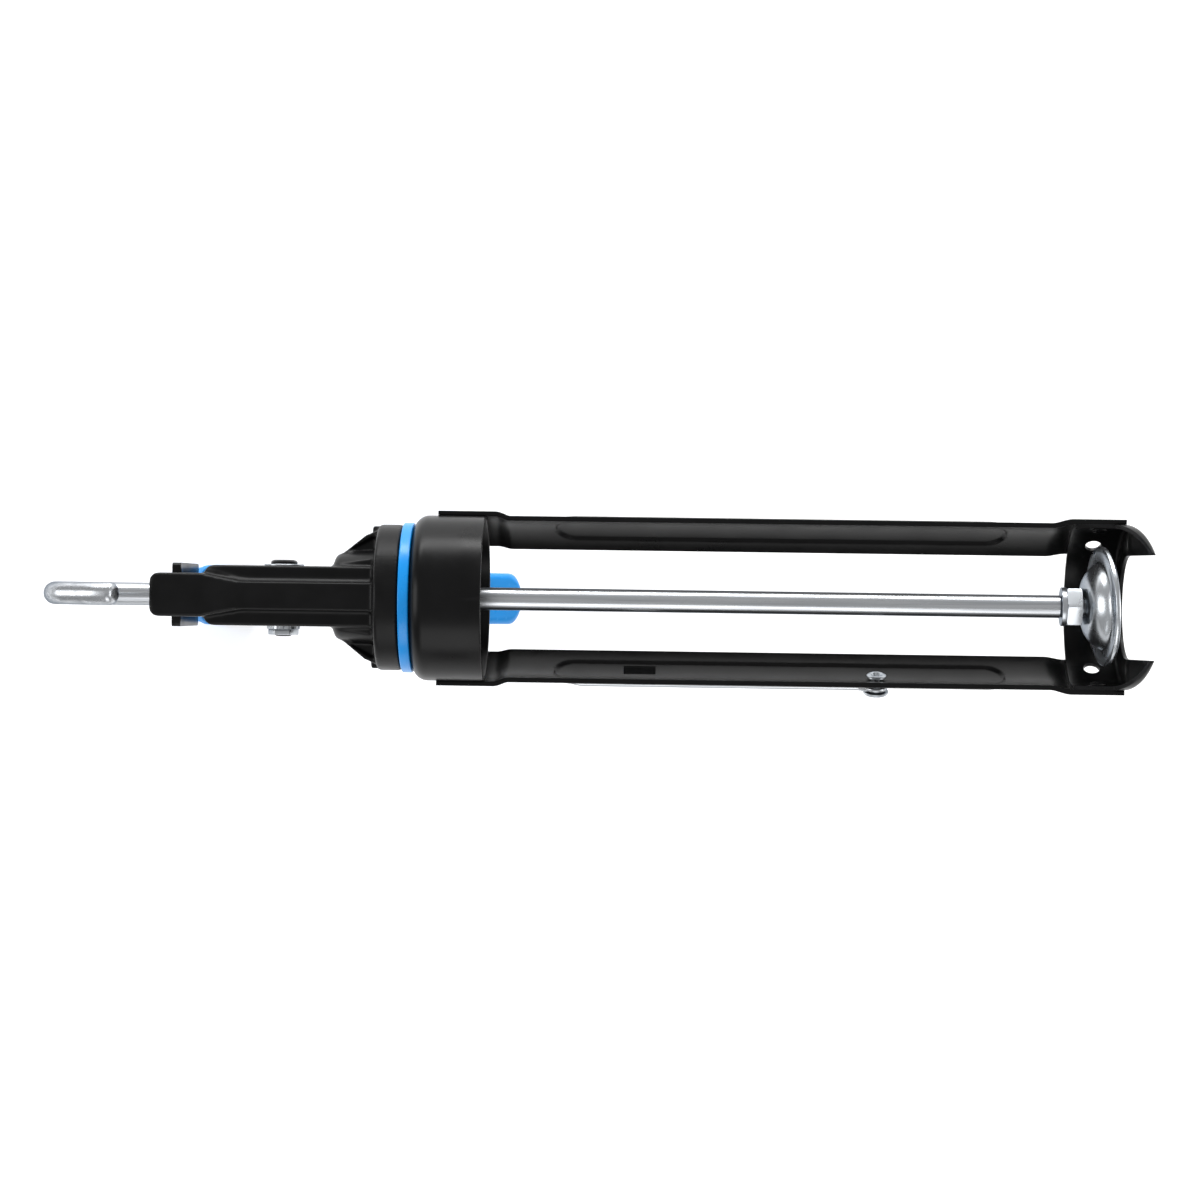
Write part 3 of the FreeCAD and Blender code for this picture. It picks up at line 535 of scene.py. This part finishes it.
def makeCradleRivets():
    studs = []
    for x in rivets["places"]:
        for side in (-1, 1):
            stud = stand(turnPiece(rivets["outline"], 32), "Z", (0, 0, 0))
            studs.append(swing(stud, side * rivets["turn"], x))
    pick(*studs)
    bpy.ops.object.join()
    group = bpy.context.object
    shadeByAngle(group, 40)
    finishPiece(group, "rivet_heads", "cradle", glossPaint, "cradle_rivets")


# The piercing wire: sharpened at one end, with an open eye round its eyelet at the other.
pin = dict(wire=1.08, eye=2.72, tip=49.6, taper=[(0, 0.1), (0.8, 0.35), (2.4, 0.75), (4.2, 1.08)], neck=7.0,
           eyelet=[(25.6, 0.9), (25.2, 1.3), (24.85, 1.9), (24.9, 2.6), (25.2, 3.2), (25.6, 3.3), (25.75, 1.56),
                   (30.7, 1.56), (30.75, 4.1), (31.3, 4.15), (31.75, 3.8), (32.0, 3.0), (31.95, 1.9),
                   (31.2, 1.5), (31.1, 0.6)])


def makePin():
    reach, wire, eye, x = cradle["pinReach"], pin["wire"], pin["eye"], cradle["pinX"]
    path = [(pin["tip"] + along, 0, reach, radius) for along, radius in pin["taper"]]
    start, steps = path[-1][0], 12
    path += [(start + (x - pin["neck"] - start) * i / steps, 0, reach, wire) for i in range(1, steps + 1)]
    path += [(x - 5.2, 0.35, reach, wire), (x - 3.9, 1.15, reach, wire)]
    path += [(x + eye * math.cos(math.radians(t)), eye * math.sin(math.radians(t)), reach, wire)
             for t in range(140, -176, -15)]
    needle = swing(barPiece(path, 6), 90 + cradle["pinAngle"])
    shadeByAngle(needle, 50)
    finishPiece(needle, "piercing_wire", "piercing_pin", bar, "piercing_pin")
    rivet = stand(turnPiece(pin["eyelet"], 48), "Z", (0, 0, 0))
    swing(rivet, 90 + cradle["pinAngle"], x)
    shadeByAngle(rivet, 40)
    finishPiece(rivet, "pin_eyelet", "cradle", zinc, "pin_rivet")


# The push rod: straight, hooked up and forward at the rear, with a threaded stud in front.
rod = dict(radius=3.75, front=211.5, rear=-108.2, bend=10.2, turn=158.0, stud=3.0, studEnd=227.2,
           pitch=1.0, tipRound=[(8.0, 0), (15.8, 0), (16.6, 0.35), (17.15, 1.0), (17.45, 2.0)])


def makeRod():
    r = rod
    radius, front, steps = r["radius"], r["front"], 28
    path = [(front, 0, 0, radius - 0.4), (front - 0.4, 0, 0, radius)]
    path += [(front - 12 - 20.0 * i, 0, 0, radius) for i in range(16)]
    for i in range(steps + 1):
        t = math.radians(r["turn"] * i / steps)
        path.append((r["rear"] - r["bend"] * math.sin(t), 0, r["bend"] * (1 - math.cos(t)), radius))
    x, y, z, radius = path[-1]
    for along, shrink in r["tipRound"]:
        path.append((x - math.cos(t) * along, 0, z + math.sin(t) * along, radius - shrink))
    shaft = barPiece(path, 12)
    stud, x = r["stud"], front + 0.6
    threads = [(front - 0.5, stud - 0.1), (x, stud - 0.1)]
    while x < r["studEnd"] - 1.2:
        threads += [(x + 0.15, stud - 0.42), (x + 0.5 * r["pitch"], stud - 0.03)]
        threads += [(x + 0.62 * r["pitch"], stud - 0.03)]
        x += r["pitch"]
    threads += [(r["studEnd"] - 0.5, stud - 0.3), (r["studEnd"], stud - 0.8)]
    screw = turnPiece(threads, 40)
    pick(shaft, screw)
    bpy.ops.object.join()
    shadeByAngle(shaft, 40)
    finishPiece(shaft, "plated_rod", "rod", bar, "push_rod")


# The plunger: a disc pressed to a dish, with a rolled rim; (distance from its back, radius) outlines.
plunger = dict(hub=219.9, back=219.1, rim=225.5, rimRadius=19.15, roll=0.6, turn=3.0, lean=7.0,
               dome=[(0, 3.45), (0, 7.0), (0.25, 8.4), (0.85, 10.0), (1.8, 11.5), (3.0, 12.8), (4.3, 13.8),
                     (5.15, 14.2), (5.6, 14.9), (5.6, 17.8)],
               hollow=[(7.2, 17.8), (7.2, 15.4), (6.7, 14.4), (5.9, 13.3), (4.4, 12.2), (3.1, 11.0), (2.2, 9.6),
                       (1.75, 8.4), (1.6, 7.0), (1.6, 3.45)])


def makePlunger():
    p = plunger
    outline = [(p["back"] + x, radius) for x, radius in p["dome"]]
    outline += bend(p["rim"] - 0.2, p["rimRadius"], p["roll"], 180, 90, 3)
    outline += bend(p["rim"] + 0.3, p["rimRadius"], p["roll"], 90, 0, 3)
    outline += [(p["back"] + x, radius) for x, radius in p["hollow"]]
    disc = turnPiece(outline, 120, closed=True)
    middle = Matrix.Translation((p["hub"] * mm, 0, 0))
    lean = Matrix.Rotation(math.radians(p["turn"]), 4, "Z") @ Matrix.Rotation(math.radians(p["lean"]), 4, "Y")
    disc.matrix_world = middle @ lean @ middle.inverted()
    settle(disc)
    shadeByAngle(disc, 40)
    finishPiece(disc, "pressed_plunger", "plunger", zinc, "plunger_disc")


swivel = dict(rear=-4.9, front=-1.45, edge=24.75, bore=13.05, soft=0.5, face=20.0)


def makeSwivelRing():
    rear, front, bore, face = swivel["rear"], swivel["front"], swivel["bore"], swivel["face"]
    edge, soft = swivel["edge"], swivel["soft"]
    profile = [(rear, bore), (rear, face)] + bend(rear + soft, edge - soft, soft, 180, 90, 4)
    profile += bend(front - soft, edge - soft, soft, 90, 0, 4) + [(front, face), (front, bore)]
    ring = turnPiece(profile, 144, closed=True)
    shadeByAngle(ring, 30)
    finishPiece(ring, "blue_swivel_ring", "handle", blue, "swivel_ring")


# Casting: triangular pockets in the gussets and a parting bead beside the ridge, then soft cast edges.
casting = dict(voxel=0.62, rounds=5, keep=0.72, bead=0.6, beadHeight=12.2,
               beadLine=[(-14.0, 5.0), (-36.0, 5.0), (-55.0, 5.0), (-59.0, 5.7), (-64.0, 7.2), (-68.5, 7.9)],
               pocketRear=-23.2, pocketFront=-13.9, pocketIn=15.0, pocketOut=20.6, pocketTip=15.6,
               web=1.7, pocketTop=6.0)


def makeGussetPocket(side, level):
    c = casting
    pocket = block((c["pocketRear"], side * c["pocketIn"] - 0.01, level * c["web"]),
                   (c["pocketFront"], side * c["pocketOut"], level * c["pocketTop"]))
    for vertex in pocket.data.vertices:
        if vertex.co.x < -20 * mm and abs(vertex.co.y) > 16 * mm:  # the narrow rear corners
            vertex.co.y = side * c["pocketTip"] * mm
    pointOutwards(pocket)
    return pocket


def makeCasting():
    pockets = [makeGussetPocket(side, level) for side in (-1, 1) for level in (-1, 1)]
    bead = barPiece([(x, y, casting["beadHeight"], casting["bead"]) for x, y in casting["beadLine"]], 4)
    body = castCopy("body_casting", casting["voxel"], casting["rounds"], cuts=pockets, extras=(bead,))
    modify(body, "DECIMATE", ratio=casting["keep"])
    pick(body)
    bpy.ops.object.shade_smooth()
    finishPiece(body, "cast_body", "handle", castPaint, "body_casting")


# Grip cover: finger grooves across its sloping back.
strap = dict(voxel=0.45, rounds=4, grooves=11, top=-52.0, pitch=5.4, radius=0.9, backX=-80.95, backZ=-49.0,
             slope=14.5 / 71)


def makeBackstrap():
    grooves = []
    for i in range(strap["grooves"]):
        z = strap["top"] - strap["pitch"] * i
        x = strap["backX"] + (z - strap["backZ"]) * strap["slope"]
        grooves.append(roundBar((x, 0, z), 30, strap["radius"], "Y", 16))
    cover = castCopy("grip_backstrap", strap["voxel"], strap["rounds"], cuts=grooves)
    finishPiece(cover, "grip_cover", "handle", rubber, "grip_backstrap")


# Trigger: shallow side panels, a rounded toe, and a soft moulded skin.
trigger = dict(voxel=0.42, rounds=6, toe=5.0, panel=0.8, half=9.2, panelFrom=-33.0, panelTo=9.0, panelLow=-60.0,
               panelHigh=-51.5, panelTurn=46.5, panelMiddle=(-12.0, 0, -55.5), toePinch=0.42)


def makeTrigger():
    t = trigger
    panels = []
    for side in (-1, 1):
        low, high = sorted((side * (t["half"] + 2), side * (t["half"] - t["panel"])))
        panels.append(block((t["panelFrom"], low, t["panelLow"]), (t["panelTo"], high, t["panelHigh"]),
                            t["panelTurn"], t["panelMiddle"]))
    lever = castCopy("trigger_lever", t["voxel"], t["rounds"], cuts=panels)
    toe = max(vertex.co.x for vertex in lever.data.vertices) / mm
    for vertex in lever.data.vertices:
        near = (vertex.co.x / mm - (toe - t["toe"])) / t["toe"]
        if near > 0:
            vertex.co.y *= 1 - t["toePinch"] * near ** 2.6
    finishPiece(lever, "moulded_trigger", "trigger", blue, "trigger_lever")


# The cross bolt: a black button head with a hexagon socket, and a zinc nut with a toothed flange.
pivot = dict(x=-46.3, z=-13.0, side=9.9, socket=1.9, nut=5.15, nutHeight=2.1, flange=5.6, teeth=18, tooth=0.42,
             bore=3.03)


def makePivotBolt():
    x, z, side = pivot["x"], pivot["z"], pivot["side"]
    profile = [(-side - 3.6, 2.2), (-side - 3.2, 2.9), (side + 0.74, 2.98), (side + 0.75, 4.3)]
    profile += [(side + 1.1, 4.5), (side + 1.6, 4.4), (side + 2.0, 3.9), (side + 2.2, 3.2)]
    bolt = stand(turnPiece(profile, 64), "Y", (x, 0, z))
    cutAway(bolt, roundBar((x, side + 2.4, z), 2.0, pivot["socket"], "Y", 6))
    shadeByAngle(bolt, 40)
    finishPiece(bolt, "button_bolt", "handle", glossPaint, "trigger_pivot_bolt")
    deselectAll()
    bpy.ops.mesh.primitive_cylinder_add(vertices=6, radius=pivot["nut"] * mm, depth=pivot["nutHeight"] * mm,
                                        location=(x * mm, -(side + 2.05) * mm, z * mm),
                                        rotation=(math.pi / 2, math.pi / 6, 0))
    nut = bpy.context.object
    settle(nut)
    ring = turnPiece([(0, 3.1), (0, 5.55), (1.1, 5.5), (1.15, 3.1)], 72, closed=True)
    stand(ring, "-Y", (x, -side - 0.05, z))
    notches = []
    for i in range(pivot["teeth"]):
        t = 2 * math.pi * i / pivot["teeth"]
        spot = (x + pivot["flange"] * math.cos(t), -side - 0.65, z + pivot["flange"] * math.sin(t))
        notches.append(roundBar(spot, 1.8, pivot["tooth"], "Y", 10))
    pick(*notches)
    bpy.ops.object.join()
    cutAway(ring, bpy.context.object)
    cutAway(nut, roundBar((x, -side - 2, z), 12, pivot["bore"], "Y", 48))
    easeEdges(nut, 0.25, 2, 40)
    pick(nut, ring)
    bpy.ops.object.join()
    shadeByAngle(nut)
    finishPiece(nut, "flange_nut", "handle", zinc, "trigger_pivot_nut")


# Machined nodes that keep their own shape: loose triangles are welded and edges eased by modifiers.
kept = {
    "plunger_nut": (zinc, 0.15), "plunger_end_nut": (zinc, 0.15), "plunger_lock_washer": (zinc, 0.12),
    "swivel_retainer": (zinc, 0.2), "rod_bush": (paint["sintered bronze"], 0.15), "pin_washer": (zinc, 0.06),
    "trigger_pivot_washer": (zinc, 0.15), "trigger_nose_pin": (bar, 0.2), "drive_plate_rear": (zinc, 0.2),
    "drive_plate_front": (zinc, 0.2), "release_plate": (glossPaint, 0.5),
    "main_spring": (paint["spring wire"], 0), "release_spring": (paint["spring wire"], 0),
}


def finishKeptNodes():
    for name, (material, width) in kept.items():
        node = nodes[name]
        for slotEntry in node.material_slots:
            slotEntry.material = material
        weld = node.modifiers.new("weld", "WELD")
        weld.merge_threshold = 0.002 * mm
        if width:
            edge = node.modifiers.new("edge", "BEVEL")
            edge.width, edge.segments = width * mm, 2
            edge.limit_method, edge.angle_limit = "ANGLE", math.radians(35)
        shadeByAngle(node, 35)


makeRearCollar()
makeFrontCup()
makeRail(1, "left_rail")
makeRightRail()
makeCradleRivets()
makePin()
print("cradle and pin made")
makeRod()
makePlunger()
makeSwivelRing()
makeCasting()
makeBackstrap()
makeTrigger()
makePivotBolt()
finishKeptNodes()
print("handle, rod and trigger made")

# The set: a pale floor under the grip, an even room, and soft boxes.
floorLevel = cadBox[0][2] - 0.0005
deselectAll()
bpy.ops.mesh.primitive_plane_add(size=6, location=(0.06, 0, floorLevel))
floor = bpy.context.object
floor.name = "floor"
floorPaint = bpy.data.materials.new("pale floor")
floorPaint.use_nodes = True
floorShader = floorPaint.node_tree.nodes["Principled BSDF"]
floorShader.inputs["Base Color"].default_value = (0.92, 0.92, 0.92, 1)
floorShader.inputs["Roughness"].default_value = 0.8
floorShader.inputs["Emission Color"].default_value = (1, 1, 1, 1)
floorShader.inputs["Emission Strength"].default_value = 0.3
floor.data.materials.append(floorPaint)

# An even room, a long low soft box on the left, and three weaker ones.
studio = dict(horizon=0.42, overhead=0.55, low=0.45, high=0.85, aim=(0.06, 0, 0),
              boxes=[((0.05, 0.95, 0.16), (1.3, 0.26), 14.0), ((0.05, -0.8, 0.5), (0.8, 0.6), 3.5),
                     ((-0.8, 0.0, 0.4), (0.5, 0.5), 3.0), ((0.95, 0.0, 0.4), (0.5, 0.5), 3.0)])
world = bpy.data.worlds.new("studio")
bpy.context.scene.world = world
world.use_nodes = True
newNode, join = world.node_tree.nodes.new, world.node_tree.links.new
direction, axes = newNode("ShaderNodeTexCoord"), newNode("ShaderNodeSeparateXYZ")
fade = newNode("ShaderNodeMapRange")
fade.interpolation_type = "SMOOTHSTEP"
fade.inputs["From Min"].default_value = studio["low"]
fade.inputs["From Max"].default_value = studio["high"]
fade.inputs["To Min"].default_value = studio["horizon"]
fade.inputs["To Max"].default_value = studio["overhead"]
join(direction.outputs["Generated"], axes.inputs["Vector"])
join(axes.outputs["Z"], fade.inputs["Value"])
join(fade.outputs["Result"], world.node_tree.nodes["Background"].inputs["Strength"])
world.node_tree.nodes["Background"].inputs["Color"].default_value = (1, 1, 1, 1)
for spot, size, power in studio["boxes"]:
    deselectAll()
    bpy.ops.object.light_add(type="AREA", location=spot)
    lamp = bpy.context.object
    lamp.data.shape = "RECTANGLE"
    lamp.data.size, lamp.data.size_y = size
    lamp.visible_camera = False
    lamp.data.energy = power
    lamp.rotation_euler = (Vector(studio["aim"]) - Vector(spot)).to_track_quat("-Z", "Y").to_euler()

# The camera looks down from above the cradle, a little turned.
view = dict(spot=(0.083, 0.0007, 0.99), target=(0.060, 0.0001, 0.0), roll=0.80, lens=90.0)
deselectAll()
bpy.ops.object.camera_add(location=view["spot"])
camera = bpy.context.object
camera.data.lens = view["lens"]
camera.data.sensor_width = 36.0
camera.data.clip_start = 0.01
back = (Vector(view["spot"]) - Vector(view["target"])).normalized()
roll = math.radians(view["roll"])
right = Vector((math.cos(roll), math.sin(roll), 0))
right = (right - right.dot(back) * back).normalized()
up = back.cross(right)
camera.matrix_world = Matrix.Translation(view["spot"]) @ Matrix((right, up, back)).transposed().to_4x4()
bpy.context.scene.camera = camera
bpy.context.scene.view_settings.view_transform = "Standard"
print("set and camera ready")
